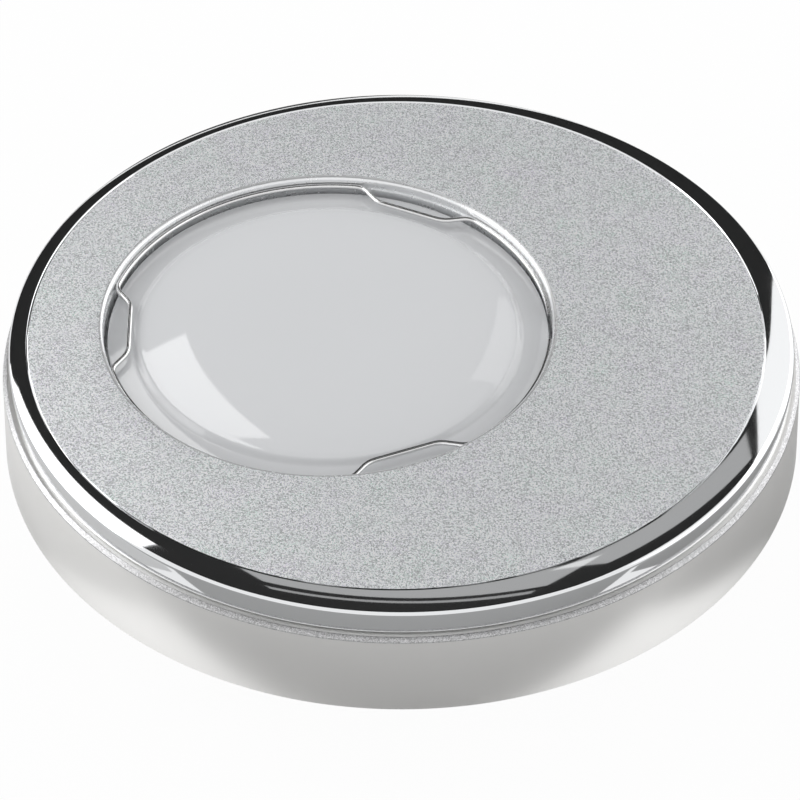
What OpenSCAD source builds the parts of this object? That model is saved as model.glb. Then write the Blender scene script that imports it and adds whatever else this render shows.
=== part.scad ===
// Round recessed light: an eccentric two-part trim, a glass lens held by a wire ring,
// a shallow housing with a pin-base capsule lamp, and two sprung fixing clips.
// The origin is on the lamp axis, in the plane where the trim meets the ceiling.
// +Z points into the room, -Z into the ceiling, and the wide side of the trim is at +X.

/* [Trim] */
// Outer diameter of the trim at its seat
trim_d = 90; // [86:1:98]
// Height of the trim above its seat
trim_h = 14; // [13:0.5:17]
// Distance from the lamp axis to the trim's own axis
trim_offset = 8.4; // [6:0.2:9]
// Lean of the trim's side, on the radius
side_draft = 0.3; // [0.2:0.1:1.4]
// Thickness of the lower ring's side wall
side_wall = 2; // [1.6:0.1:2.6]
// Thickness of the lower ring's web
web_t = 2.5; // [1.8:0.1:2.8]
// Width of the satin bevel on the lower ring's top edge
bevel = 0.42; // [0.2:0.02:0.6]

/* [Face ring] */
// Height of the bright upper ring
ring_h = 3.5; // [3.3:0.1:4.4]
// How far the upper ring stands in from the lower ring's top edge
ring_inset = 0.8; // [0.5:0.1:1.2]
// Height of the shadow gap between the two rings
reveal_h = 0.3; // [0.2:0.1:0.8]
// Depth of the shadow gap
reveal_depth = 1.3; // [0.8:0.1:1.5]
// Width of the rounded bright shoulder
shoulder_w = 2.6; // [2:0.1:3]
// Drop of the rounded bright shoulder
shoulder_drop = 1.15; // [0.8:0.05:1.4]
// Thickness of the face plate
face_t = 2.4; // [2:0.1:2.8]
// Width of the fine groove round the satin face
land_groove_w = 0.25; // [0.15:0.05:0.4]
// Depth of the fine groove round the satin face
land_groove_depth = 0.15; // [0.1:0.05:0.3]
// Shift of the satin face from the trim's axis along X
land_shift_x = -0.6; // [-0.9:0.1:0]
// Shift of the satin face from the trim's axis along Y
land_shift_y = 0; // [-0.4:0.1:0.4]

/* [Lens and wire ring] */
// Diameter of the light opening
aperture_d = 50.4; // [48:0.2:52]
// Radius of the opening's rounded edge
aperture_round = 0.5; // [0.3:0.1:0.7]
// Depth of the lens rim below the face
lens_drop = 2; // [1.8:0.1:2.4]
// Thickness of the lens
lens_t = 2; // [1.6:0.1:2.2]
// Height of the lens's raised middle above its rim
lens_rise = 0.5; // [0.4:0.1:1]
// Width of the lens's lower rim
lens_rim_w = 3.8; // [3.4:0.1:4.2]
// Width of the soft step from the raised middle down to the rim
lens_step_w = 1.2; // [0.8:0.1:1.4]
// Extra height of the crown in the middle of the lens
lens_crown = 0.8; // [0.2:0.1:1]
// Thickness of the silicone seal under the lens
gasket_t = 0.6; // [0.4:0.1:0.8]
// Diameter of the wire of the snap ring
wire_d = 0.6; // [0.5:0.05:0.8]
// Depth of the snap ring's centre below the face
wire_drop = 1.1; // [1:0.05:1.2]
// How far each finger bend of the snap ring reaches inwards
bend_depth = 2.3; // [1.6:0.1:2.6]

/* [Housing] */
// Depth of the housing below the seat
can_depth = 12; // [12:0.5:16]
// Sheet thickness of the housing
can_t = 0.8; // [0.6:0.1:1]
// Sheet thickness of the reflector
reflector_t = 0.5; // [0.4:0.1:0.6]
// Diameter of the lamp's glass capsule
bulb_d = 9; // [8:0.5:9]
// Length of the lamp's glass without its pins
bulb_l = 24.5; // [22:0.5:26]
// Distance between the lamp's two pins
pin_pitch = 4; // [3.6:0.1:4.4]
// Width of the ceramic lamp holder
holder_w = 12; // [11.5:0.5:13]
// Length of the ceramic lamp holder
holder_l = 11; // [10:0.5:11.5]
// Diameter of the sleeved leads
lead_d = 1.5; // [1.2:0.1:1.6]

/* [Terminal block] */
// Length of the terminal block across the wires
block_w = 13; // [13:0.5:15]
// Width of the terminal block along the wires
block_l = 9; // [8:0.5:10]
// Height of the terminal block
block_h = 6.2; // [6:0.1:6.6]

/* [Clips] */
// Sheet thickness of the clip brackets
bracket_t = 0.8; // [0.6:0.1:1]
// Width of the clip brackets
bracket_w = 9; // [8.6:0.1:10]
// Length of the clip arms from the pivot
arm_l = 11.5; // [10:0.5:12]
// Sheet thickness of the clip arms
arm_t = 0.6; // [0.5:0.1:0.7]
// Rise of the resting clip arms above the seat plane's direction, in degrees
arm_rise = 25; // [18:1:28]
// Diameter of the pivot pins
pivot_d = 2; // [1.8:0.1:2.2]
// Diameter of the spring wire
spring_wire_d = 0.8; // [0.6:0.1:0.8]
// Turns of each clip spring
spring_turns = 5; // [3:1:5]

/* [Hidden] */
$fn = 96;

// Free room beyond a cut, and the running and sliding clearances
past = 1;
running_gap = 0.05;
slip_gap = 0.2;
thread_gap = 0.02;

// The ledge under the lens
ledge_t = 1.1;
ledge_w = 2.4;

// Heights, from the face downwards
z_face = trim_h;
z_split = z_face - ring_h;
z_web_top = z_split - reveal_h;
z_web = z_web_top - web_t;
z_wire = z_face - wire_drop;
z_lens = z_face - lens_drop;
z_lens_under = z_lens - lens_t;
z_seat = z_lens_under - gasket_t;
z_collar = z_seat - ledge_t;
z_flange_top = z_collar - reflector_t;
z_flange = z_flange_top - can_t;
z_floor = -can_depth + can_t;
z_reflector_floor = z_floor + reflector_t;

// Trim
base_r = trim_d / 2;
top_r = base_r - side_draft;
ring_r = top_r - ring_inset;
reveal_r = ring_r - reveal_depth;
land_r = ring_r - shoulder_w;
spigot_h = 1;
spigot_w = 1.8;
spigot_r = reveal_r - 1.5;
shoulder_steps = 14;
edge_steps = 8;

// Opening, lens and wire ring
aperture_r = aperture_d / 2;
lens_r = aperture_r - 0.4;
lens_rim_r = lens_r - lens_rim_w;
crown_power = 4;
ledge_r = aperture_r - ledge_w;
collar_r = aperture_r + 2.8;
wire_r = wire_d / 2;
wire_path_r = aperture_r - 0.2;
wire_groove_r = wire_path_r + wire_r + 0.1;
wire_groove_h = wire_d + 0.3;
bend_angles = [-55.6, 77.6, 192.8];
bend_outer_half = 15.8;
bend_inner_half = 10.6;
bend_corner = 0.9;
ring_gap_angle = 11.5;
ring_gap_half = 5;

// Housing and what it rests in
can_r = aperture_r + 1.3;
can_in_r = can_r - can_t;
can_corner = 1.5;
flange_r = can_r + 2;
rebate_r = flange_r + slip_gap;
base_hole_r = can_r + 0.3;
sleeve_r = rebate_r + 1.8;
sleeve_h = 3;
rib_angles = [-55, -17, 17, 55, -145, 145];
rib_t = 1.2;
vent_angles = [45:30:315];
vent_w = 2.2;
vent_r0 = 19;
vent_r1 = can_in_r - 3;

// Screws that join the two rings
screw_r = 1.25;
screw_head_r = 2.2;
screw_head_h = 1.5;
screw_grip = 2.6;
screw_ring_r = sleeve_r + screw_head_r + 0.5;
screw_angles = [-72, -36, 36, 72];
boss_r = 3;

// Reflector
reflector_floor_r = 16.5;
reflector_mouth_r = can_in_r - reflector_t - 0.3;
reflector_steps = 14;

// Lamp, holder and contacts
bulb_r = bulb_d / 2;
bulb_z = z_reflector_floor + 0.3 + bulb_r;
holder_x1 = can_in_r - 4.2;
holder_x0 = holder_x1 - holder_l;
holder_top = 9.6;
holder_hole_r = 0.5;
contact_r = 0.8;
contact_bore_r = contact_r + running_gap;
contact_l = 5.9;
contact_x0 = holder_x0 + 2;
lamp_pin_r = 0.35;
lamp_pin_l = 6.8;
bulb_x0 = holder_x0 - 0.3;
pinch_l = 7;
pinch_w = 8;
pinch_t = 2.6;
holder_screw_x = (holder_x0 + holder_x1) / 2;
holder_screw_y = holder_w / 2 - 1.6;
holder_screw_r = 0.95;
holder_screw_head_r = 1.5;
holder_screw_head_h = 1.4;
holder_screw_sink = 2;

// Terminal block, leads and grommet
block_x0 = sleeve_r + 3.5;
block_x1 = block_x0 + block_l;
pole_y = block_w / 2 - 2.7;
cage_r = 1.8;
cage_bore_r = 1.05;
cage_inset = 1;
lead_r = lead_d / 2;
lead_z = z_web - block_h / 2 - 1;
lead_y = 1.15;
terminal_screw_r = 0.9;
terminal_screw_in = 2.2;
terminal_screw_xs = [block_x0 + terminal_screw_in, block_x1 - terminal_screw_in];
block_screw_r = 0.95;
block_head_r = 1.5;
block_head_h = 1.1;
terminal_screw_l = 2.2;
driver_slot_w = 0.4;
driver_slot_depth = 0.45;
lead_in = 2.5;
lead_straight = 1.4;
lead_drop_in = 2.1;
lead_bend = 1.2;
lead_end_gap = 0.1;
grommet_neck_r = lead_y + lead_r + 0.5;
grommet_r = grommet_neck_r + 0.6;
notch_half = grommet_r + 1;

// Clips
pin_r = pivot_d / 2;
spring_wire_r = spring_wire_d / 2;
spring_r = pin_r + 0.35 + spring_wire_r;
spring_pitch = spring_wire_d + 0.2;
spring_leg = 3.4;
spring_half_l = spring_turns * spring_pitch / 2;
pivot_y = can_r + bracket_t + spring_r + spring_wire_r + running_gap;
pivot_z = -can_depth / 2;
cheek_r = 2.1;
ear_r = 2;
cheek_in = bracket_w / 2 - bracket_t;
arm_half_w = cheek_in - slip_gap;
strip_start = spring_r + spring_wire_r + 0.8;
strip_v1 = -spring_r + spring_wire_r + 0.05 + arm_t;
sleeve_grip = 4;
sleeve_wall = 0.5;
rivet_r = 0.8;
rivet_head_r = 1.1;
rivet_head_h = 0.5;
rivet_dz = 3.4;

// Vectors and paths
function unit(v) = v / norm(v);
function polar(r, a) = [r * cos(a), r * sin(a), 0];

// Points of a corner at b, rounded between its neighbours a and c
function rounded(a, b, c, d, steps) =
    let (p = b + d * unit(a - b), q = b + d * unit(c - b))
    [for (i = [0:steps]) let (t = i / steps) (1 - t) * (1 - t) * p + 2 * t * (1 - t) * b + t * t * q];

function tangents(path) =
    [for (i = [0:len(path) - 1]) unit(path[min(i + 1, len(path) - 1)] - path[max(i - 1, 0)])];

// One normal for each tangent, carried along the path without twist
function carried(tangent, found = []) =
    let (i = len(found))
    i == len(tangent) ? found :
    let (
        last = i == 0 ? (abs(tangent[0][2]) < 0.9 ? [0, 0, 1] : [1, 0, 0]) : found[i - 1],
        flat = last - (last * tangent[i]) * tangent[i]
    )
    carried(tangent, concat(found, [unit(flat)]));

// A round wire along a path of points
module wire(path, r, sides) {
    tangent = tangents(path);
    normal = carried(tangent);
    n = len(path);
    points = [
        for (i = [0:n - 1]) let (side = cross(tangent[i], normal[i]))
            for (j = [0:sides - 1]) let (a = 360 * j / sides)
                path[i] + r * (cos(a) * normal[i] + sin(a) * side)
    ];
    walls = [
        for (i = [0:n - 2], j = [0:sides - 1]) let (k = (j + 1) % sides)
            [i * sides + j, (i + 1) * sides + j, (i + 1) * sides + k, i * sides + k]
    ];
    start = [[for (j = [0:sides - 1]) j]];
    finish = [[for (j = [sides - 1:-1:0]) (n - 1) * sides + j]];
    polyhedron(points, concat(start, walls, finish), convexity = 8);
}

// A cylinder along +X that starts at x
module rod_x(x, l, r) translate([x, 0, 0]) rotate([0, 90, 0]) cylinder(r = r, h = l);

// A tube section, turned round the lamp axis
module tube(r_in, r_out, z0, z1)
    rotate_extrude() translate([r_in, z0]) square([r_out - r_in, z1 - z0]);

// The places of the screws that join the rings
module at_ring_screws()
    for (a = screw_angles) translate(polar(screw_ring_r, a)) children();

// The two ends of the light: children are drawn for +Y, and mirrored for -Y
module at_side(rear) mirror([0, rear ? 0 : 1, 0]) children();

// Trim

// Half section of the upper ring without its collar
module face_section() {
    shoulder = [
        for (i = [0:shoulder_steps]) let (a = 90 * i / shoulder_steps)
            [land_r + shoulder_w * sin(a), z_face - shoulder_drop * (1 - cos(a))]
    ];
    polygon(concat(
        [[0, z_face - face_t], [0, z_face]],
        shoulder,
        [
            [ring_r, z_split],
            [spigot_r + slip_gap, z_split],
            [spigot_r + slip_gap, z_face - face_t]
        ]
    ));
}

// Half section of everything that is cut out round the lamp axis
module aperture_section() {
    edge = [
        for (i = [0:edge_steps]) let (a = 90 * i / edge_steps)
            [aperture_r + aperture_round * (1 - sin(a)), z_face - aperture_round * (1 - cos(a))]
    ];
    polygon(concat(
        [[0, z_face + past], [aperture_r + aperture_round, z_face + past]],
        edge,
        [
            [aperture_r, z_wire + wire_groove_h / 2],
            [wire_groove_r, z_wire + wire_groove_h / 2],
            [wire_groove_r, z_wire - wire_groove_h / 2],
            [aperture_r, z_wire - wire_groove_h / 2],
            [aperture_r, z_seat],
            [ledge_r, z_seat],
            [ledge_r, z_collar - past],
            [0, z_collar - past]
        ]
    ));
}

module face_ring() color("silver") difference() {
    union() {
        translate([trim_offset, 0, 0]) rotate_extrude() face_section();
        translate([0, 0, z_collar]) cylinder(r = collar_r, h = z_face - face_t / 2 - z_collar);
        at_ring_screws() translate([0, 0, z_web_top])
            cylinder(r = boss_r, h = z_face - face_t / 2 - z_web_top);
    }
    rotate_extrude() aperture_section();
    translate([trim_offset + land_shift_x, land_shift_y, z_face - land_groove_depth])
        difference() {
            cylinder(r = land_r, h = past);
            translate([0, 0, -past]) cylinder(r = land_r - land_groove_w, h = 3 * past);
        }
    at_ring_screws() translate([0, 0, z_web_top - past])
        cylinder(r = screw_r + thread_gap, h = past + screw_grip);
}

// Half section of the lower ring, solid across the middle
module base_section() polygon([
    [0, z_web],
    [0, z_web_top],
    [spigot_r - spigot_w, z_web_top],
    [spigot_r - spigot_w, z_split + spigot_h],
    [spigot_r, z_split + spigot_h],
    [spigot_r, z_split],
    [reveal_r, z_split],
    [reveal_r, z_web_top],
    [top_r - bevel, z_web_top],
    [top_r, z_web_top - bevel],
    [base_r, 0],
    [base_r - side_wall, 0],
    [top_r - side_wall, z_web]
]);

module ribs() intersection() {
    for (a = rib_angles) rotate([0, 0, a])
        translate([sleeve_r - rib_t, -rib_t / 2, z_flange - sleeve_h])
            cube([trim_d, rib_t, z_web_top - z_flange + sleeve_h - web_t / 2]);
    translate([trim_offset, 0, 0])
        cylinder(r = top_r - side_wall / 2, h = z_web_top - web_t / 2);
}

module base_ring() color("gainsboro") difference() {
    union() {
        translate([trim_offset, 0, 0]) rotate_extrude() base_section();
        translate([0, 0, z_flange - sleeve_h])
            cylinder(r = sleeve_r, h = z_web_top - z_flange + sleeve_h);
        ribs();
    }
    translate([0, 0, z_flange]) cylinder(r = rebate_r, h = z_face);
    translate([0, 0, -can_depth]) cylinder(r = base_hole_r, h = 2 * z_face + can_depth);
    translate([0, -notch_half, z_flange - sleeve_h - past])
        cube([sleeve_r + past, 2 * notch_half, sleeve_h + past]);
    at_ring_screws() translate([0, 0, z_web - past])
        cylinder(r = screw_r + slip_gap, h = web_t + 2 * past);
    translate([(block_x0 + block_x1) / 2, 0, z_web - past])
        cylinder(r = block_screw_r + thread_gap, h = web_t + 2 * past);
}

module pan_screw(r, head_r, head_h, l) {
    difference() {
        translate([0, 0, -head_h]) cylinder(r = head_r, h = head_h);
        translate([0, 0, -head_h - past])
            linear_extrude(past + head_h / 2)
                for (a = [0, 90]) rotate(a) square([head_r * 1.2, head_r * 0.3], center = true);
    }
    cylinder(r = r, h = l);
}

module face_screws() color("dimgray")
    at_ring_screws() translate([0, 0, z_web])
        pan_screw(screw_r, screw_head_r, screw_head_h, web_t + screw_grip - 0.3);

// Lens and wire ring

// Centre line of the wire ring: arcs between the finger bends, with rounded corners
function bend_path(a) =
    let (
        inner_r = wire_path_r - bend_depth,
        p = [
            polar(wire_path_r, a - bend_outer_half - 3),
            polar(wire_path_r, a - bend_outer_half),
            polar(inner_r, a - bend_inner_half),
            polar(inner_r, a + bend_inner_half),
            polar(wire_path_r, a + bend_outer_half),
            polar(wire_path_r, a + bend_outer_half + 3)
        ]
    )
    [for (i = [1:4]) each rounded(p[i - 1], p[i], p[i + 1], bend_corner, 4)];

function arc_path(a0, a1) =
    let (steps = ceil((a1 - a0) / 6))
    [for (i = [0:steps]) polar(wire_path_r, a0 + (a1 - a0) * i / steps)];

snap_path = concat(
    arc_path(ring_gap_angle + ring_gap_half, bend_angles[1] - bend_outer_half - 3),
    bend_path(bend_angles[1]),
    arc_path(bend_angles[1] + bend_outer_half + 3, bend_angles[2] - bend_outer_half - 3),
    bend_path(bend_angles[2]),
    arc_path(bend_angles[2] + bend_outer_half + 3, bend_angles[0] + 360 - bend_outer_half - 3),
    bend_path(bend_angles[0]),
    arc_path(bend_angles[0] + 360 + bend_outer_half + 3, ring_gap_angle + 360 - ring_gap_half)
);

module snap_ring() color("silver") translate([0, 0, z_wire]) wire(snap_path, wire_r, 10);

// Height of the lens's crown above its raised edge, at a radius
function crown(r) = lens_crown * (1 - pow(r / lens_rim_r, crown_power));

module lens_glass() color("whitesmoke") rotate_extrude() {
    steps = 12;
    top = [
        for (i = [0:steps]) let (r = lens_rim_r * i / steps)
            [r, z_lens + lens_rise + crown(r)]
    ];
    step_down = [
        for (i = [1:edge_steps]) let (share = i / edge_steps)
            [lens_rim_r + lens_step_w * share, z_lens + lens_rise * (1 + cos(180 * share)) / 2]
    ];
    under = [
        for (i = [steps:-1:0]) let (r = (lens_rim_r - lens_t / 2) * i / steps)
            [r, z_lens_under + lens_rise + crown(r)]
    ];
    polygon(concat(
        top, step_down,
        [[lens_r, z_lens], [lens_r, z_lens_under], [lens_rim_r, z_lens_under]],
        under
    ));
}

module lens_gasket() color("white") tube(ledge_r + 0.3, lens_r - 0.1, z_seat, z_lens_under);

// Housing

module housing_section() {
    outer = [
        for (i = [0:edge_steps]) let (a = 90 * i / edge_steps)
            [can_r - can_corner * (1 - sin(a)), can_corner * (1 - cos(a)) - can_depth]
    ];
    inner_corner = max(can_corner - can_t, 0.2);
    inner = [
        for (i = [edge_steps:-1:0]) let (a = 90 * i / edge_steps)
            [can_in_r - inner_corner * (1 - sin(a)), z_floor + inner_corner * (1 - cos(a))]
    ];
    polygon(concat(
        [[0, -can_depth]], outer,
        [[can_r, z_flange], [flange_r, z_flange], [flange_r, z_flange_top], [can_in_r, z_flange_top]],
        inner, [[0, z_floor]]
    ));
}

module vent_slot() {
    translate([vent_r0, -vent_w / 2]) square([vent_r1 - vent_r0, vent_w]);
    for (r = [vent_r0, vent_r1]) translate([r, 0]) circle(d = vent_w, $fn = 48);
}

module housing_can() color("lightgray") difference() {
    rotate_extrude() housing_section();
    for (a = vent_angles) rotate([0, 0, a])
        translate([0, 0, -can_depth - past]) linear_extrude(can_t + 2 * past) vent_slot();
    translate([0, 0, lead_z]) rod_x(can_r / 2, can_r, grommet_neck_r);
    for (side = [-1, 1]) translate([holder_screw_x, side * holder_screw_y, -can_depth - past])
        cylinder(r = holder_screw_r + thread_gap, h = can_t + 2 * past);
    for (side = [-1, 1], dz = [-1, 1])
        translate([0, 0, pivot_z + dz * rivet_dz]) rotate([-90 * side, 0, 0])
            cylinder(r = rivet_r + thread_gap, h = can_r + past);
}

// A point of the dish, at an angle from the floor's edge up to the mouth
function dish(a, grow) = [
    reflector_floor_r + (reflector_mouth_r - reflector_floor_r + grow) * sin(a),
    z_reflector_floor - grow + (z_flange_top - z_reflector_floor + grow) * (1 - cos(a))
];

module reflector() color("white") difference() {
    rotate_extrude() polygon(concat(
        [[0, z_reflector_floor]],
        [for (i = [0:reflector_steps]) dish(90 * i / reflector_steps, 0)],
        [
            [reflector_mouth_r, z_collar],
            [flange_r, z_collar],
            [flange_r, z_flange_top]
        ],
        [for (i = [reflector_steps:-1:0]) dish(90 * i / reflector_steps, reflector_t)],
        [[0, z_floor]]
    ));
    translate([holder_x0 - 0.6, -holder_w / 2 - 0.6, z_floor - past])
        cube([can_r, holder_w + 1.2, z_flange - 0.4 - z_floor + past]);
}

module lamp_holder() color("ivory") difference() {
    translate([holder_x0, -holder_w / 2, z_floor]) cube([holder_l, holder_w, holder_top]);
    for (side = [-1, 1]) translate([0, side * pin_pitch / 2, bulb_z]) {
        rod_x(holder_x0 - past, holder_l, holder_hole_r);
        rod_x(contact_x0, holder_l, contact_bore_r);
    }
    for (side = [-1, 1]) translate([holder_screw_x, side * holder_screw_y, z_floor]) {
        translate([0, 0, -past]) cylinder(r = holder_screw_r + 0.15, h = holder_top + 2 * past);
        translate([0, 0, holder_top - holder_screw_sink])
            cylinder(r = holder_screw_head_r + 0.1, h = holder_top);
    }
    for (side = [-1, 1]) translate([holder_x0 - past, side * holder_w / 2, z_floor - past])
        rotate([0, 0, 45]) cube([2, 2, holder_top + 2 * past], center = false);
}

module holder_contacts() color("goldenrod")
    for (side = [-1, 1]) translate([0, side * pin_pitch / 2, bulb_z]) difference() {
        rod_x(contact_x0 + lead_end_gap, contact_l, contact_r);
        rod_x(contact_x0, contact_l + past, lamp_pin_r + running_gap);
    }

module holder_screws() color("dimgray")
    for (side = [-1, 1])
        translate([holder_screw_x, side * holder_screw_y, z_floor + holder_top - holder_screw_sink])
            rotate([180, 0, 0])
                pan_screw(holder_screw_r, holder_screw_head_r, holder_screw_head_h,
                          holder_top - holder_screw_sink + can_t - 0.1);

module bulb_capsule() color("lightcyan") translate([bulb_x0, 0, bulb_z]) {
    translate([-pinch_l, -pinch_w / 2, -pinch_t / 2]) cube([pinch_l, pinch_w, pinch_t]);
    rotate([0, -90, 0]) rotate_extrude() {
        neck = pinch_l - 1.6;
        polygon(concat(
            [[0, neck]],
            [for (i = [0:edge_steps]) let (a = 90 * i / edge_steps)
                [bulb_r * (0.55 + 0.45 * sin(a)), neck + 2.4 * (1 - cos(a))]],
            [for (i = [0:edge_steps]) let (a = 90 * i / edge_steps)
                [bulb_r * cos(a), bulb_l - bulb_r * 0.9 * (1 - sin(a))]]
        ));
    }
}

module bulb_pins() color("lightgray")
    for (side = [-1, 1]) translate([0, side * pin_pitch / 2, bulb_z])
        rod_x(bulb_x0, lamp_pin_l, lamp_pin_r);

// Centre line of a lead, from the terminal block down to the lamp holder
function lead_path(side) = let (
    start = block_x0 + cage_inset + lead_in,
    drop_x = can_in_r - lead_drop_in,
    end_x = contact_x0 + contact_l + 2 * lead_end_gap,
    corners = [
        [start, side * pole_y, lead_z],
        [block_x0 - lead_straight, side * pole_y, lead_z],
        [can_r + lead_straight, side * lead_y, lead_z],
        [drop_x, side * lead_y, lead_z],
        [drop_x, side * pin_pitch / 2, bulb_z],
        [end_x, side * pin_pitch / 2, bulb_z]
    ]
) concat(
    [corners[0]],
    [for (i = [1:4]) each rounded(corners[i - 1], corners[i], corners[i + 1], lead_bend, 5)],
    [corners[5]]
);

module lead_front() color("black") wire(lead_path(-1), lead_r, 10);

module lead_rear() color("saddlebrown") wire(lead_path(1), lead_r, 10);

module cable_grommet() color("dimgray") difference() {
    translate([0, 0, lead_z]) rod_x(can_in_r - 1, can_t + 2, grommet_r);
    difference() {
        tube(can_in_r - 0.01, can_r + 0.01, lead_z - grommet_r - past, lead_z + grommet_r + past);
        translate([0, 0, lead_z]) rod_x(0, 2 * can_r, grommet_neck_r);
    }
    for (side = [-1, 1]) translate([0, side * lead_y, lead_z])
        rod_x(0, 2 * can_r, lead_r + running_gap);
}

// Terminal block

module terminal_block() color("ivory") difference() {
    translate([block_x0, -block_w / 2, z_web - block_h]) cube([block_l, block_w, block_h]);
    for (side = [-1, 1]) translate([0, side * pole_y, lead_z]) {
        rod_x(block_x0 - past, block_l + 2 * past, cage_bore_r);
        rod_x(block_x0 + cage_inset, block_l, cage_r);
        for (x = terminal_screw_xs) translate([x, 0, -block_h])
            cylinder(r = terminal_screw_r + 0.3, h = block_h);
    }
    translate([(block_x0 + block_x1) / 2, 0, z_web - block_h - past])
        cylinder(r = block_screw_r + 0.15, h = block_h + 2 * past);
    translate([(block_x0 + block_x1) / 2, 0, z_web - block_h - past])
        cylinder(r = block_head_r + 0.1, h = block_head_h + past);
}

module terminal_cages() color("goldenrod")
    for (side = [-1, 1]) translate([0, side * pole_y, lead_z]) difference() {
        rod_x(block_x0 + cage_inset, block_l - 2 * cage_inset, cage_r - 0.02);
        rod_x(block_x0, block_l, cage_bore_r);
        for (x = terminal_screw_xs) translate([x, 0, -block_h])
            cylinder(r = terminal_screw_r + thread_gap, h = block_h);
    }

module terminal_screws() color("dimgray")
    for (side = [-1, 1], x = terminal_screw_xs)
        translate([x, side * pole_y, lead_z - lead_r - 0.05]) rotate([180, 0, 0]) difference() {
            cylinder(r = terminal_screw_r, h = terminal_screw_l);
            translate([0, 0, terminal_screw_l])
                cube([3 * terminal_screw_r, driver_slot_w, 2 * driver_slot_depth], center = true);
        }

module block_screw() color("dimgray")
    translate([(block_x0 + block_x1) / 2, 0, z_web - block_h + block_head_h])
        pan_screw(block_screw_r, block_head_r, block_head_h, block_h - block_head_h + web_t - 0.2);

// Clips, drawn for the rear side

// Side view of a bracket cheek: a lug with a rounded end at the pivot
module cheek_outline() difference() {
    union() {
        translate([pivot_y, pivot_z]) circle(r = cheek_r);
        polygon([
            [can_r, pivot_z - cheek_r - 1.2],
            [can_r, pivot_z + cheek_r + 1.2],
            [pivot_y, pivot_z + cheek_r],
            [pivot_y, pivot_z - cheek_r]
        ]);
    }
    translate([pivot_y, pivot_z]) circle(r = pin_r + thread_gap);
}

// Extrudes a side view along X, from x0 for a thickness
module side_plate(x0, t) translate([x0, 0, 0]) rotate([90, 0, 90]) linear_extrude(t) children();

module clip_bracket(rear) color("silver") at_side(rear) {
    difference() {
        translate([-bracket_w / 2, can_r, pivot_z - rivet_dz - 1.3])
            cube([bracket_w, bracket_t, 2 * rivet_dz + 2.6]);
        for (dz = [-1, 1]) translate([0, 0, pivot_z + dz * rivet_dz]) rotate([-90, 0, 0])
            cylinder(r = rivet_r + thread_gap, h = can_r + 2 * bracket_t);
    }
    for (x0 = [-bracket_w / 2, cheek_in]) side_plate(x0, bracket_t) cheek_outline();
}

module clip_pin(rear) color("gray") at_side(rear) translate([0, pivot_y, pivot_z]) {
    rod_x(-bracket_w / 2 - 0.4, bracket_w + 0.8, pin_r);
    for (x = [-bracket_w / 2 - 0.5, bracket_w / 2]) rod_x(x, 0.5, pin_r + 0.5);
}

// Centre line of the torsion spring: one leg on the bracket, the turns, one leg under the arm
function spring_path(rise) = let (
    steps = 14,
    sweep = 360 * spring_turns + 90 + rise - 90,
    count = ceil(sweep / 360 * steps),
    a0 = 180,
    turns = [
        for (i = [0:count]) let (t = i / count, a = a0 + sweep * t)
            [spring_half_l * (1 - 2 * t) * 0.98, spring_r * cos(a), spring_r * sin(a)]
    ],
    last = a0 + sweep,
    out = [0, -sin(last), cos(last)]
) concat(
    [turns[0] + [0, 0, spring_leg]],
    turns,
    [turns[count] + spring_leg * out]
);

module clip_spring(rear) color("silver") at_side(rear)
    translate([0, pivot_y, pivot_z]) wire(spring_path(arm_rise + 90), spring_wire_r, 8);

// Turns what is drawn along the arm, from the pivot outwards, into its resting place
module along_arm() translate([0, pivot_y, pivot_z]) rotate([arm_rise, 0, 0]) children();

module clip_arm(rear) color("silver") at_side(rear) along_arm() {
    for (x0 = [-arm_half_w, arm_half_w - arm_t]) side_plate(x0, arm_t) difference() {
        union() {
            circle(r = ear_r);
            polygon([
                [0, -ear_r], [strip_start + 1.6, strip_v1 - arm_t],
                [strip_start + 1.6, strip_v1], [0, ear_r]
            ]);
        }
        circle(r = pin_r + running_gap);
    }
    translate([-arm_half_w, strip_start, strip_v1 - arm_t])
        cube([2 * arm_half_w, arm_l - strip_start, arm_t]);
}

module clip_sleeve(rear) color("white") at_side(rear) along_arm()
    translate([0, arm_l - sleeve_grip, strip_v1 - arm_t]) difference() {
        translate([-arm_half_w - sleeve_wall, 0, -sleeve_wall])
            cube([2 * (arm_half_w + sleeve_wall), sleeve_grip + sleeve_wall, arm_t + 2 * sleeve_wall]);
        translate([-arm_half_w, -past, 0]) cube([2 * arm_half_w, sleeve_grip + past, arm_t]);
    }

module clip_rivets() color("gray")
    for (rear = [false, true], dz = [-1, 1]) at_side(rear)
        translate([0, 0, pivot_z + dz * rivet_dz]) rotate([-90, 0, 0]) {
            translate([0, 0, can_in_r - rivet_head_h])
                cylinder(r = rivet_head_r, h = rivet_head_h - 0.06);
            translate([0, 0, can_in_r - rivet_head_h]) cylinder(r = rivet_r, h = can_t + bracket_t + rivet_head_h);
            translate([0, 0, can_r + bracket_t]) cylinder(r = rivet_head_r, h = rivet_head_h);
        }

face_ring();
base_ring();
face_screws();
snap_ring();
lens_glass();
lens_gasket();
housing_can();
reflector();
lamp_holder();
holder_contacts();
holder_screws();
bulb_capsule();
bulb_pins();
lead_front();
lead_rear();
cable_grommet();
terminal_block();
terminal_cages();
terminal_screws();
block_screw();
clip_rivets();
clip_bracket(false);  // clip_bracket_front
clip_pin(false);  // clip_pin_front
clip_spring(false);  // clip_spring_front
clip_arm(false);  // clip_arm_front
clip_sleeve(false);  // clip_sleeve_front
clip_bracket(true);  // clip_bracket_rear
clip_pin(true);  // clip_pin_rear
clip_spring(true);  // clip_spring_rear
clip_arm(true);  // clip_arm_rear
clip_sleeve(true);  // clip_sleeve_rear
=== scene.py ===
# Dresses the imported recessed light: smoothly turned rings, milk glass, wire ring, housing and
# clips with their finishes, on a pale floor in soft studio light.
import math

import bpy
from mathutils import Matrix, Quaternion, Vector


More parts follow.
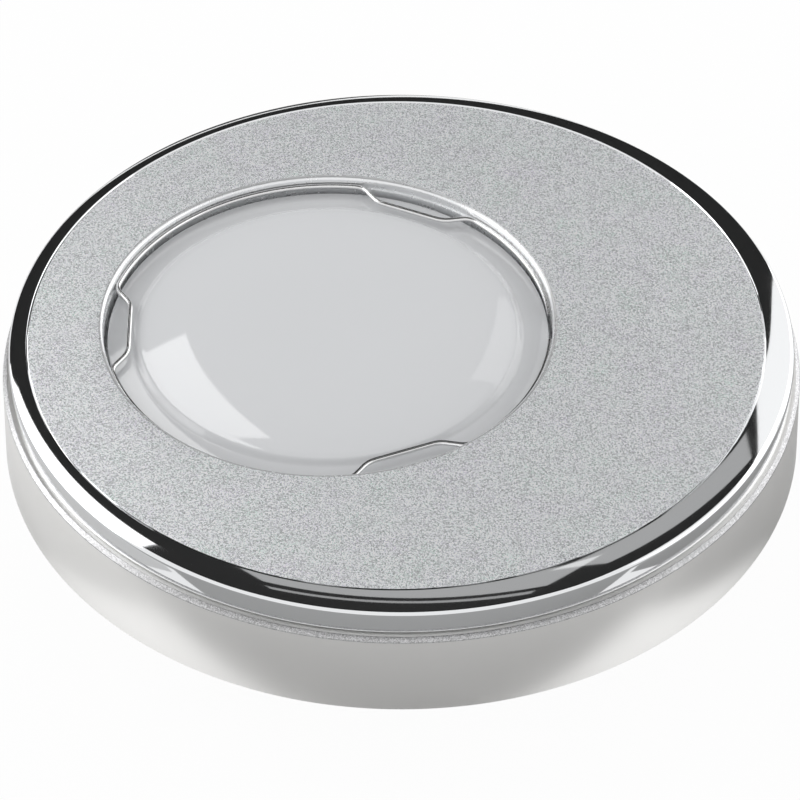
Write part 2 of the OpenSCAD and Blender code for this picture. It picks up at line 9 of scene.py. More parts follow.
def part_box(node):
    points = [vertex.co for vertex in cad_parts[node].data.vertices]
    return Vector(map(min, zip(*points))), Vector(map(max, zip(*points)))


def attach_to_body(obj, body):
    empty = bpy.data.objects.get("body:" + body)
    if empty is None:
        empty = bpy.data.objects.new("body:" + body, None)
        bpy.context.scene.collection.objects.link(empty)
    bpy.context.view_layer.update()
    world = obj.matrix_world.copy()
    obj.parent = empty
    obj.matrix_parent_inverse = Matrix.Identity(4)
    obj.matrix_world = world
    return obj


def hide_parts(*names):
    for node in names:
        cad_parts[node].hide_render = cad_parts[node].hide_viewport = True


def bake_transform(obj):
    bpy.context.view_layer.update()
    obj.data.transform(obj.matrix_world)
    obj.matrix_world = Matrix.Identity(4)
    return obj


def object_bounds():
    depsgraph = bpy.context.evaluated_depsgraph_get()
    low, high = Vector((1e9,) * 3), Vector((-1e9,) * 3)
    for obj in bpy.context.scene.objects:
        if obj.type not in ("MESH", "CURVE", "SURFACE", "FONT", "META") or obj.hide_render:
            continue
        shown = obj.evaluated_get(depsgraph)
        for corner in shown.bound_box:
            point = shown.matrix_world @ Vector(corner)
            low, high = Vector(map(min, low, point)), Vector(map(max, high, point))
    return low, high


bl_info = {
    "name": "Recessed Light",
    "version": (1, 0, 0),
    "blender": (4, 5, 0),
    "location": "View3D > Sidebar > Light",
    "description": "Models and finishes the visible pieces of a round recessed light",
    "category": "Object",
}

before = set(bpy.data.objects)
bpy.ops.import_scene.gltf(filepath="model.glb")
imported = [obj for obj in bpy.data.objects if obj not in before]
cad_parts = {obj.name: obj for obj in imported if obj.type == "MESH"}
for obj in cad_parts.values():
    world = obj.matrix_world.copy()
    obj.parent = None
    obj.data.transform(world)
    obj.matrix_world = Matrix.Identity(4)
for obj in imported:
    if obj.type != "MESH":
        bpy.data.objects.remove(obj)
CAD_LOW, CAD_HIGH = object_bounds()

MM = 0.001
TURN_STEPS = 240
CROWN_POWER = 4
# Soft lamps: name, azimuth and elevation in degrees, distance, width and height in metres,
# level, and lean in degrees. Azimuth is to the right of straight back, as the camera looks.
PANELS = (
    ("back_panel", 4, 72, 1.0, 0.46, 0.21, 0.42),
    ("corner_panel", 38, 56, 1.0, 0.17, 0.36, 0.42),
    ("top_strip", 0, 82, 1.0, 0.46, 0.035, 0.35),
    ("left_card", -21, 50, 0.35, 0.046, 0.10, 3.2),
    ("right_card", 18, 42, 0.35, 0.035, 0.08, 0.9),
    ("left_panel", -77, 15, 1.2, 1.28, 0.84, 1.5),
    ("high_left_panel", -69, 41, 1.2, 0.60, 0.72, 1.5, 28),
    ("right_panel", 46, 22, 1.2, 0.70, 0.98, 1.1),
    ("side_panel", 90, 18, 1.2, 1.10, 0.78, 0.6),
)
# Dark cards, which only reflections show: name, azimuth and elevation in degrees, distance,
# width and height in metres, colour
CARDS = (
    ("back_card", -14, 30, 2.0, 3.7, 2.7, 0.04),
    ("top_card", 0, 86, 1.6, 2.4, 1.9, 0.04),
)
# The front and side boards are painted shade: grey where the floor beside the object lies in shade,
# shown only in the rings' reflections. The back board is dark like the cards.
# Grey boards on the floor, which only reflections show: name, azimuth in degrees, near edge,
# length and width in metres, colour
BOARDS = (
    ("back_board", -12, 0.046, 0.40, 0.10, 0.08),
    ("front_shade_board", 180, 0.046, 0.30, 0.26, 0.46),
    ("left_shade_board", -90, 0.046, 0.16, 0.088, 0.78),
    ("right_shade_board", 90, 0.046, 0.16, 0.088, 0.46),
)
SCREW_ANGLES = (-72, -36, 36, 72)
RIB_ANGLES = (-55, -17, 17, 55, -145, 145)
VENT_ANGLES = range(45, 316, 30)
BEND_ANGLES = (77.6, 192.8, 304.4)
BLOCK_SCREW = 0.95 * MM
# Painted shade on the milk glass: greyer from the first radius outwards, reaching full shade over the
# second width
GLASS_SHADE_START = 20.4 * MM
GLASS_SHADE_FADE = 2.6 * MM
BACKGROUND_SHARE = 0.96
BODY = "light"
SIDES = ("front", "rear")

BASE_LOW, BASE_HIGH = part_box("base_ring")
FACE_LOW, FACE_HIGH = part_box("face_ring")
LENS_LOW, LENS_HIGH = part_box("lens_glass")
CAN_LOW, CAN_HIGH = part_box("housing_can")
TRIM_X = (BASE_LOW.x + BASE_HIGH.x) / 2
LAMP_AXIS = (0.0, 0.0)
TRIM_AXIS = (TRIM_X, 0.0)


def size(name, text, default):
    """A length that a user can change, in metres."""
    return bpy.props.FloatProperty(
        name=name, description=text, default=default, unit="LENGTH", precision=5, step=0.01
    )


def degrees(name, text, default):
    """An angle that a user can change, in degrees."""
    return bpy.props.FloatProperty(name=name, description=text, default=default)


def colour(name, text, default):
    """A colour that a user can change."""
    return bpy.props.FloatVectorProperty(
        name=name, description=text, default=default, subtype="COLOR", size=3, min=0, max=1
    )


class TrimSizes(bpy.types.PropertyGroup):
    base_radius: size("Seat radius", "Radius of the lower ring at its seat",
                      (BASE_HIGH.x - BASE_LOW.x) / 2)
    ring_radius: size("Ring radius", "Radius of the bright upper ring",
                      (FACE_HIGH.x - FACE_LOW.x) / 2)
    face_height: size("Face height", "Height of the satin face above the seat", FACE_HIGH.z)
    draft: size("Draft", "Lean of the lower ring's side, on the radius", 0.3 * MM)
    side_wall: size("Side wall", "Thickness of the lower ring's side", 2.0 * MM)
    web: size("Web", "Thickness of the lower ring's web", 2.5 * MM)
    bevel: size("Bevel", "Width of the glittering bevel over the lower ring's side", 0.42 * MM)
    ring_height: size("Ring height", "Height of the bright upper ring", 3.5 * MM)
    reveal_height: size("Shadow gap", "Height of the gap between the rings", 0.3 * MM)
    reveal_depth: size("Shadow gap depth", "Depth of the gap between the rings", 1.3 * MM)
    shoulder_width: size("Shoulder width", "Width of the rounded bright shoulder", 2.6 * MM)
    shoulder_corner: size("Shoulder corner", "Width of the shoulder's round corner", 0.4 * MM)
    slope_in: bpy.props.FloatProperty(
        name="Inner slope", description="Slope of the bright shoulder beside the satin face",
        default=math.radians(12), subtype="ANGLE",
    )
    slope_out: bpy.props.FloatProperty(
        name="Outer slope", description="Slope of the bright shoulder beside its round corner",
        default=math.radians(22), subtype="ANGLE",
    )
    land_x: size("Face shift X", "Shift of the satin face from the trim's axis", -0.6 * MM)
    land_y: size("Face shift Y", "Shift of the satin face from the trim's axis", 0.0)
    land_groove: size("Face groove", "Width of the groove round the satin face", 0.25 * MM)
    land_groove_depth: size("Face groove depth", "Depth of the groove round the face", 0.15 * MM)
    face_plate: size("Face plate", "Thickness of the face plate", 2.4 * MM)
    edge_round: size("Edge round", "Rounding of the rings' outer edges", 0.12 * MM)
    spigot_radius: size("Spigot radius", "Radius of the lower ring's locating rim", 41.1 * MM)
    spigot_width: size("Spigot width", "Width of the lower ring's locating rim", 1.8 * MM)
    spigot_height: size("Spigot height", "Height of the locating rim over the split", 1.0 * MM)
    boss_radius: size("Boss radius", "Radius of the screw bosses", 3.0 * MM)
    screw_radius: size("Screw hole", "Radius of the ring screws' holes", 1.25 * MM)
    screw_grip: size("Screw grip", "Depth of the ring screws' holes in the bosses", 2.6 * MM)
    screw_place: size("Screw place", "Distance of the ring screws from the lamp axis", 33.2 * MM)


class OpeningSizes(bpy.types.PropertyGroup):
    radius: size("Opening radius", "Radius of the light opening", 25.2 * MM)
    round: size("Opening edge", "Radius of the opening's rounded edge", 0.5 * MM)
    ledge_radius: size("Ledge radius", "Inner radius of the ledge under the lens", 22.8 * MM)
    collar_radius: size("Collar radius", "Outer radius of the collar round the lens", 28.0 * MM)
    seat_height: size("Seat height", "Height of the ledge's upper side", 9.4 * MM)
    lens_crown: size("Lens crown", "Height of the crown in the middle of the lens", 0.8 * MM)
    lens_rise: size("Lens rise", "Height of the lens's raised middle above its rim", 0.5 * MM)
    lens_rim: size("Lens rim", "Width of the lens's lower rim", 3.8 * MM)
    lens_step: size("Lens step", "Width of the soft step down to the lens's rim", 1.2 * MM)
    lens_thickness: size("Lens thickness", "Thickness of the lens", 2.0 * MM)
    wire_radius: size("Wire radius", "Radius of the snap ring's wire", 0.3 * MM)
    wire_path: size("Wire path", "Radius of the snap ring's centre line", 25.0 * MM)
    wire_depth: size("Wire depth", "Depth of the snap ring below the face", 1.1 * MM)
    bend_depth: size("Bend depth", "Reach of the snap ring's finger bends", 2.3 * MM)
    bend_round: size("Bend round", "Length taken by each rounded corner of a bend", 0.9 * MM)
    bend_outer: degrees("Bend width", "Half the bend's width at the wire's circle", 15.8)
    bend_inner: degrees("Bend tip", "Half the bend's width at its tip", 10.6)
    bend_lead: degrees("Bend lead", "Straight length beside each bend", 3.0)
    gap_place: degrees("Gap place", "Middle of the open gap", 11.5)
    gap_half: degrees("Gap half", "Half the open gap", 5.0)


class HousingSizes(bpy.types.PropertyGroup):
    sheet: size("Sheet", "Thickness of the housing's sheet", 0.8 * MM)
    corner: size("Corner", "Outer rounding of the housing's floor", 1.5 * MM)
    radius: size("Radius", "Outer radius of the housing", 26.5 * MM)
    rebate_radius: size("Rebate", "Radius of the lower ring's rebate", 28.7 * MM)
    sleeve_radius: size("Sleeve", "Outer radius of the sleeve round the housing", 30.5 * MM)
    sleeve_height: size("Sleeve height", "Reach of the sleeve below the flange", 3.0 * MM)
    rib: size("Rib", "Thickness of the lower ring's ribs", 1.2 * MM)
    vent_width: size("Vent width", "Width of the vent slots", 2.2 * MM)
    vent_start: size("Vent start", "Radius at which the vent slots start", 19.0 * MM)
    vent_end: size("Vent end", "Radius at which the vent slots end", 22.7 * MM)
    holder_screw: size("Holder screw", "Radius of the holder screws' holes", 0.95 * MM)
    holder_screw_x: size("Holder screw X", "Place of the holder screws along X", 16.0 * MM)
    holder_screw_y: size("Holder screw Y", "Place of the holder screws along Y", 4.4 * MM)
    rivet: size("Rivet", "Radius of the rivet holes", 0.8 * MM)
    rivet_height: size("Rivet height", "Height midway between the rivets", -6.0 * MM)
    rivet_spread: size("Rivet spread", "Height of each rivet from the middle", 3.4 * MM)


class ClipSizes(bpy.types.PropertyGroup):
    pivot_y: size("Pivot Y", "Distance of the pivots from the lamp axis", 29.5 * MM)
    pivot_z: size("Pivot Z", "Height of the pivots", -6.0 * MM)
    wire_radius: size("Spring wire", "Radius of the spring wire", 0.4 * MM)
    coil_radius: size("Coil radius", "Radius of the spring's centre line", 1.75 * MM)
    half_length: size("Half length", "Half the length of the spring's coil", 2.45 * MM)
    leg: size("Leg", "Length of the spring's legs", 3.4 * MM)
    turns: bpy.props.IntProperty(name="Turns", description="Turns of each spring", default=5)
    rise: bpy.props.FloatProperty(
        name="Rise", description="Rise of the resting arms above the seat's direction",
        default=math.radians(25), subtype="ANGLE",
    )


class FinishColours(bpy.types.PropertyGroup):
    chrome: colour("Chrome", "Polished shoulder and side", (0.80, 0.81, 0.82))
    pearl: colour("Pearl", "Satin pearl face", (0.84, 0.86, 0.875))
    glitter: colour("Glitter", "Bevel over the lower ring", (0.80, 0.80, 0.81))
    lacquer: colour("Lacquer", "Satin lower ring", (0.93, 0.925, 0.91))
    glass: colour("Glass", "Milk glass", (0.755, 0.765, 0.78))
    zinc: colour("Zinc", "Plated sheet", (0.60, 0.61, 0.62))
    brass: colour("Brass", "Cages and contacts", (0.78, 0.58, 0.28))
    ceramic: colour("Ceramic", "Holder and terminal block", (0.84, 0.81, 0.74))
    floor: colour("Floor", "Studio floor", (0.90, 0.90, 0.90))


class StageSettings(bpy.types.PropertyGroup):
    camera_place: bpy.props.FloatVectorProperty(
        name="Camera", description="Place of the camera", size=3, subtype="XYZ",
        unit="LENGTH", default=(76.69 * MM, -321.12 * MM, 301.4 * MM),
    )
    heading: bpy.props.FloatProperty(
        name="Heading", description="Turn of the camera about Z from looking along +Y",
        default=math.radians(12.033), subtype="ANGLE",
    )
    tilt: bpy.props.FloatProperty(
        name="Tilt", description="How far the camera looks down",
        default=math.radians(42.234), subtype="ANGLE",
    )
    lens: bpy.props.FloatProperty(
        name="Lens", description="Focal length in millimetres", default=175.69
    )
    sky: bpy.props.FloatProperty(
        name="Sky", description="Level of the even light from all round", default=0.6
    )


# Modelling helpers


def deselect():
    """Leaves edit mode and clears the selection."""
    if bpy.context.mode != "OBJECT":
        bpy.ops.object.mode_set(mode="OBJECT")
    bpy.ops.object.select_all(action="DESELECT")


def pick(obj):
    """Makes obj the one selected, active object."""
    deselect()
    obj.select_set(True)
    bpy.context.view_layer.objects.active = obj
    return obj


def settle(obj, angle=32):
    """Puts obj's place into its mesh and shades it smooth but for its sharp edges."""
    pick(obj)
    bpy.ops.object.transform_apply(location=True, rotation=True, scale=True)
    bpy.ops.object.shade_smooth_by_angle(angle=math.radians(angle))
    return obj


def turned(name, stations, closed=True):
    """A ring or disc made by extruding a circle through stations of (axis, radius, height)."""
    axis, radius, height = stations[0]
    deselect()
    bpy.ops.mesh.primitive_circle_add(
        vertices=TURN_STEPS, radius=radius, location=(axis[0], axis[1], height)
    )
    obj = bpy.context.object
    obj.name = name
    bpy.ops.object.transform_apply(location=True)
    bpy.ops.object.mode_set(mode="EDIT")
    bpy.ops.mesh.select_all(action="SELECT")
    rest = stations[1:] + ([stations[0]] if closed else [])
    for place, r, z in rest:
        shift = (place[0] - axis[0], place[1] - axis[1], z - height)
        bpy.ops.mesh.extrude_region_move(TRANSFORM_OT_translate={"value": shift})
        axis, height = place, z
        if r <= 0:
            bpy.ops.mesh.merge(type="CENTER")
            break
        grow = r / radius
        bpy.ops.transform.resize(
            value=(grow, grow, 1), center_override=(axis[0], axis[1], height)
        )
        radius = r
    bpy.ops.mesh.select_all(action="SELECT")
    bpy.ops.mesh.remove_doubles(threshold=0.001 * MM)
    bpy.ops.mesh.normals_make_consistent(inside=False)
    bpy.ops.object.mode_set(mode="OBJECT")
    return obj


def on(axis, points):
    """Stations on one axis from (radius, height) pairs."""
    return [(axis, r, z) for r, z in points]


def polar(radius, angle):
    """X and Y of a place at a distance and an angle in degrees from the lamp axis."""
    return (radius * math.cos(math.radians(angle)), radius * math.sin(math.radians(angle)))


def post(radius, place, low, high, sides=48):
    """An upright cylinder at (x, y), from one height to another, to join or cut with."""
    deselect()
    bpy.ops.mesh.primitive_cylinder_add(
        vertices=sides, radius=radius, depth=high - low, location=(*place, (low + high) / 2)
    )
    return bpy.context.object


def block(size, centre, turn=0.0):
    """A box of a size, turned about Z, to join or cut with."""
    deselect()
    bpy.ops.mesh.primitive_cube_add(size=1, location=centre, rotation=(0, 0, turn), scale=size)
    return bpy.context.object


def corner(radius, centre_r, centre_z, start, end, steps=5):
    """Points of an arc in the half section, from start to end degrees."""
    return [
        (centre_r + radius * math.cos(a), centre_z + radius * math.sin(a))
        for a in (math.radians(start + (end - start) * i / steps) for i in range(steps + 1))
    ]


def combine(obj, other, operation):
    """Joins or cuts obj with other by a Boolean, and removes other."""
    pick(obj)
    change = obj.modifiers.new("combine", "BOOLEAN")
    change.operation = operation
    change.object = other
    change.solver = "EXACT"
    bpy.ops.object.modifier_apply(modifier=change.name)
    bpy.data.objects.remove(other)
    return obj


def round_edges(obj, width, segments=2, angle=30):
    """Bevels obj's sharp edges."""
    pick(obj)
    change = obj.modifiers.new("edges", "BEVEL")
    change.width = width
    change.segments = segments
    change.limit_method = "ANGLE"
    change.angle_limit = math.radians(angle)
    change.use_clamp_overlap = True
    bpy.ops.object.modifier_apply(modifier=change.name)
    return obj


def wire_piece(name, points, radius, closed=False, smooth=8):
    """A round wire along points, made as a curve and turned into a mesh."""
    deselect()
    line = bpy.data.curves.new(name, "CURVE")
    line.dimensions = "3D"
    line.bevel_depth = radius
    line.bevel_resolution = smooth
    line.use_fill_caps = True
    spline = line.splines.new("POLY")
    spline.points.add(len(points) - 1)
    for point, place in zip(spline.points, points):
        point.co = (*place, 1)
    spline.use_cyclic_u = closed
    obj = bpy.data.objects.new(name, line)
    bpy.context.collection.objects.link(obj)
    pick(obj)
    bpy.ops.object.convert(target="MESH")
    obj = bpy.context.object
    bpy.ops.object.mode_set(mode="EDIT")
    bpy.ops.mesh.select_all(action="SELECT")
    bpy.ops.mesh.remove_doubles(threshold=0.0005 * MM)
    bpy.ops.mesh.normals_make_consistent(inside=False)
    bpy.ops.object.mode_set(mode="OBJECT")
    return settle(obj, 60)


def softened(node, name, width):
    """A copy of a CAD node with merged points and slightly rounded edges."""
    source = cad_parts[node]
    obj = bpy.data.objects.new(name, source.data.copy())
    obj.data.materials.clear()
    bpy.context.collection.objects.link(obj)
    pick(obj)
    bpy.ops.object.mode_set(mode="EDIT")
    bpy.ops.mesh.select_all(action="SELECT")
    bpy.ops.mesh.customdata_custom_splitnormals_clear()
    bpy.ops.mesh.remove_doubles(threshold=0.002 * MM)
    bpy.ops.mesh.dissolve_limited(angle_limit=math.radians(0.5))
    bpy.ops.object.mode_set(mode="OBJECT")
    round_edges(obj, width)
    return settle(obj)


def attach(obj, body, slot, *nodes):
    """Sets obj in place of CAD nodes, on a body; the slot argument is not used."""
    if nodes:
        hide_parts(*nodes)
    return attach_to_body(obj, body)


def lay_finish(obj, *finishes):
    """Gives obj its materials in order."""
    obj.data.materials.clear()
    for finish in finishes:
        obj.data.materials.append(finish)


def finish_faces(obj, index, chosen):
    """Gives material index to the faces whose centre passes the test."""
    for face in obj.data.polygons:
        if chosen(face.center):
            face.material_index = index


# Shader helpers


class Value:
    """A shader socket that takes part in Python expressions through Math nodes."""

    def __init__(self, finish, socket):
        self.finish = finish
        self.socket = socket

    def maths(self, operation, *values):
        return self.finish.node("ShaderNodeMath", {"operation": operation}, list(values))

    def __add__(self, other):
        return self.maths("ADD", self, other)

    def __radd__(self, other):
        return self.maths("ADD", other, self)

    def __sub__(self, other):
        return self.maths("SUBTRACT", self, other)

    def __rsub__(self, other):
        return self.maths("SUBTRACT", other, self)

    def __mul__(self, other):
        return self.maths("MULTIPLY", self, other)

    def __rmul__(self, other):
        return self.maths("MULTIPLY", other, self)

    def __truediv__(self, other):
        return self.maths("DIVIDE", self, other)

    def power(self, exponent):
        return self.maths("POWER", self, exponent)

    def clamped_to(self, low, high):
        return self.maths("MINIMUM", self.maths("MAXIMUM", self, low), high)


class Finish:
    """A node-based material, or the world's node tree."""

    def __init__(self, name, tree=None):
        if tree is None:
            self.material = bpy.data.materials.new(name)
            self.material.use_nodes = True
            tree = self.material.node_tree
        self.tree = tree
        self.tree.nodes.clear()

    def node(self, kind, settings=None, inputs=None, output=0):
        """Adds a node with its settings, then its sockets' values or links."""
        made = self.tree.nodes.new(kind)
        for key, value in (settings or {}).items():
            setattr(made, key, value)
        pairs = inputs.items() if isinstance(inputs, dict) else enumerate(inputs or [])
        for key, value in pairs:
            if isinstance(value, Value):
                self.tree.links.new(value.socket, made.inputs[key])
            elif value is not None:
                made.inputs[key].default_value = value
        return Value(self, made.outputs[output]) if made.outputs else made

    def place(self):
        return self.node("ShaderNodeTexCoord", output=3)

    def parts(self, vector):
        """The X, Y and Z of a vector."""
        split = self.node("ShaderNodeSeparateXYZ", inputs=[vector])
        outputs = split.socket.node.outputs
        return [Value(self, outputs[i]) for i in range(3)]

    def vector(self, x, y, z):
        return self.node("ShaderNodeCombineXYZ", inputs=[x, y, z])

    def noise(self, vector, scale, detail=2.0, rough=0.5):
        return self.node(
            "ShaderNodeTexNoise",
            inputs={"Vector": vector, "Scale": scale, "Detail": detail, "Roughness": rough},
        )

    def cells(self, vector, scale, output):
        return self.node(
            "ShaderNodeTexVoronoi", inputs={"Vector": vector, "Scale": scale}, output=output
        )

    def mix(self, factor, a, b):
        """A colour between a and b."""
        made = self.node("ShaderNodeMix", {"data_type": "RGBA"}, output=2)
        sockets = made.socket.node.inputs
        for index, value in ((0, factor), (6, a), (7, b)):
            if isinstance(value, Value):
                self.tree.links.new(value.socket, sockets[index])
            else:
                sockets[index].default_value = value
        return made

    def bump(self, height, strength, distance):
        inputs = {"Strength": strength, "Distance": distance, "Height": height}
        return self.node("ShaderNodeBump", inputs=inputs)

    def surface(self, **sockets):
        """Ends the material with a Principled shader whose sockets are given by name."""
        named = {key.replace("_", " "): value for key, value in sockets.items()}
        shader = self.node("ShaderNodeBsdfPrincipled", inputs=named)
        self.node("ShaderNodeOutputMaterial", inputs=[shader])
        return self.material


def shade(rgb, scale=1.0):
    """A colour with alpha, for a socket."""
    return (*[min(1.0, c * scale) for c in rgb], 1.0)


# Finishes


def chrome_finish(colours):
    """Polished chrome with the faint unevenness of a polished casting."""
    f = Finish("chrome")
    place = f.place()
    wave = f.noise(place, 90.0, 2.0)
    haze = f.noise(place, 700.0, 3.0)
    return f.surface(
        Base_Color=shade(colours.chrome),
        Metallic=1.0,
        Roughness=haze * 0.03 + 0.03,
        Normal=f.bump(wave, 0.15, 0.02 * MM),
    )


def pearl_finish(colours):
    """Satin metallic paint with fine flakes that tilt and tint at random, and painted glints on a few
    of them.
    """
    f = Finish("pearl")
    place = f.place()
    tone, hue, tilt = f.parts(f.cells(place, 9600.0, 1))
    patch = f.noise(place, 260.0, 2.0)
    # Random flake tone, plus painted glints: the power term paints a few flakes up to nearly twice as
    # bright
    flake_tone_and_glint = (tone - 0.5) * 1.05 + (tilt * tone).power(6) * 1.0
    base = f.mix((hue + patch - 1.30) * 3.0, shade(colours.pearl), shade((0.73, 0.86, 0.81)))
    tinted = f.mix((tilt - patch - 0.25) * 3.0, base, shade((0.83, 0.79, 0.90)))
    level = (flake_tone_and_glint + 1.0).clamped_to(0.2, 1.9)
    lit = f.node("ShaderNodeVectorMath", {"operation": "SCALE"}, {0: tinted, 3: level})
    return f.surface(
        Base_Color=lit,
        Metallic=0.45,
        Roughness=0.45 - tone * 0.12,
        Normal=f.bump(tone, 0.3, 0.03 * MM),
    )


def glitter_finish(colours):
    """Bare flakes that mirror the room, each at its own tilt."""
    f = Finish("glitter")
    tone, hue, tilt = f.parts(f.cells(f.place(), 9500.0, 1))
    level = tone * 0.5 + 0.45
    lit = f.node("ShaderNodeVectorMath", {"operation": "SCALE"}, {0: colours.glitter, 3: level})
    return f.surface(
        Base_Color=lit,
        Metallic=0.85,
        Roughness=0.28 + hue * 0.14,
        Normal=f.bump(tilt, 0.3, 0.03 * MM),
    )


def lacquer_finish(colours):
    """Satin silver lacquer over fine marks that run round the ring."""
    f = Finish("satin_lacquer")
    x, y, z = f.parts(f.place())
    turn = f.node("ShaderNodeMath", {"operation": "ARCTAN2"}, [y, x - TRIM_X])
    lines = f.noise(f.vector(turn * 2.0, 0.0, z * 3500.0), 1.0, 4.0, 0.6)
    cloud = f.noise(f.place(), 240.0, 3.0)
    grain = f.noise(f.place(), 5200.0, 1.0)
    return f.surface(
        Base_Color=shade(colours.lacquer),
        Metallic=0.9,
        Roughness=0.30 + lines * 0.08 + cloud * 0.06,
        Normal=f.bump(lines * 0.5 + grain * 0.5, 0.25, 0.02 * MM),
    )


def glass_finish(colours):
    """Milk glass: glossy over an even white body, with painted shade that greys it towards its rim."""
    f = Finish("milk_glass")
    x, y, z = f.parts(f.place())
    reach = (x * x + y * y).power(0.5)
    # Painted shade: the glass colour turns greyer towards its rim
    rim_shade = ((reach - GLASS_SHADE_START) / GLASS_SHADE_FADE).clamped_to(0.0, 1.0)
    cloud = f.noise(f.place(), 60.0, 2.0)
    body = f.mix(cloud * 0.25, shade(colours.glass), shade(colours.glass, 0.98))
    return f.surface(
        Base_Color=f.mix(rim_shade, body, shade(colours.glass, 0.86)),
        Roughness=0.04,
        IOR=1.5,
        Coat_Weight=0.2,
        Coat_Roughness=0.02,
        Subsurface_Weight=0.2,
        Subsurface_Radius=(1.0, 1.0, 1.0),
        Subsurface_Scale=1.0 * MM,
    )


def metal_finish(name, base, roughness, grain_scale=1800.0, brushed=0.0, metallic=1.0):
    """Plain metal with a fine grain, drawn out along X when brushed."""
    f = Finish(name)
    x, y, z = f.parts(f.place())
    grain = f.noise(f.vector(x * (1.0 - brushed * 0.95), y, z), grain_scale, 3.0)
    smudge = f.noise(f.place(), 180.0, 3.0)
    return f.surface(
        Base_Color=f.mix(smudge * 0.5, shade(base), shade(base, 0.86)),
        Metallic=metallic,
        Roughness=grain * 0.12 + smudge * 0.10 + roughness,
        Normal=f.bump(grain, 0.2, 0.02 * MM),
    )


def soft_finish(name, base, roughness):
    """Rubber, plastic or ceramic: an even body with a fine skin."""
    f = Finish(name)
    grain = f.noise(f.place(), 2500.0, 3.0)
    patch = f.noise(f.place(), 220.0, 3.0)
    return f.surface(
        Base_Color=f.mix(patch * 0.6, shade(base), shade(base, 0.85)),
        Roughness=patch * 0.12 + roughness,
        Normal=f.bump(grain, 0.3, 0.03 * MM),
    )


def clear_finish(name, tint):
    """Clear quartz glass."""
    f = Finish(name)
    ripple = f.noise(f.place(), 300.0, 2.0)
    return f.surface(
        Base_Color=shade(tint),
        Roughness=0.02,
        IOR=1.46,
        Transmission_Weight=0.9,
        Normal=f.bump(ripple, 0.05, 0.05 * MM),
    )


# Visible pieces


def wire_ring_path(t, o):
    """Centre line of the snap ring: arcs, with three finger bends and an open gap."""
    height = t.face_height - o.wire_depth

    def at(radius, angle):
        return Vector((*polar(radius, angle), height))

    def rounded(a, b, c):
        start = b + (a - b).normalized() * o.bend_round
        end = b + (c - b).normalized() * o.bend_round
        shares = [i / 8 for i in range(9)]
        return [(1 - s) ** 2 * start + 2 * s * (1 - s) * b + s * s * end for s in shares]

    def arc(first, last):
        count = max(2, math.ceil((last - first) / 2.0))
        return [at(o.wire_path, first + (last - first) * i / count) for i in range(count + 1)]

    inner = o.wire_path - o.bend_depth
    points = []
    begin = o.gap_place + o.gap_half
    for middle in BEND_ANGLES:
        points += arc(begin, middle - o.bend_outer - o.bend_lead)
        marks = [
            at(o.wire_path, middle - o.bend_outer - o.bend_lead),
            at(o.wire_path, middle - o.bend_outer),
            at(inner, middle - o.bend_inner),
            at(inner, middle + o.bend_inner),
            at(o.wire_path, middle + o.bend_outer),
            at(o.wire_path, middle + o.bend_outer + o.bend_lead),
        ]
        for i in range(1, 5):
            points += rounded(*marks[i - 1:i + 2])
        begin = middle + o.bend_outer + o.bend_lead
    points += arc(begin, o.gap_place + 360 - o.gap_half)
    return points


def shoulder(t):
    """Distance out and drop along the bright shoulder: a growing slope, then a round corner."""
    steps, turns = 16, 14
    reach = t.shoulder_width - t.shoulder_corner
    out, drop = 0.0, 0.0
    line = [(out, drop)]
    for i in range(steps):
        slope = t.slope_in + (t.slope_out - t.slope_in) * (i + 0.5) / steps
        out += reach / steps
        drop += math.tan(slope) * reach / steps
        line.append((out, drop))
    radius = t.shoulder_corner / (1 - math.sin(t.slope_out))
    for i in range(1, turns + 1):
        a = t.slope_out + (math.pi / 2 - t.slope_out) * i / turns
        line.append((
            out + radius * (math.sin(a) - math.sin(t.slope_out)),
            drop + radius * (math.cos(t.slope_out) - math.cos(a)),
        ))
    return line


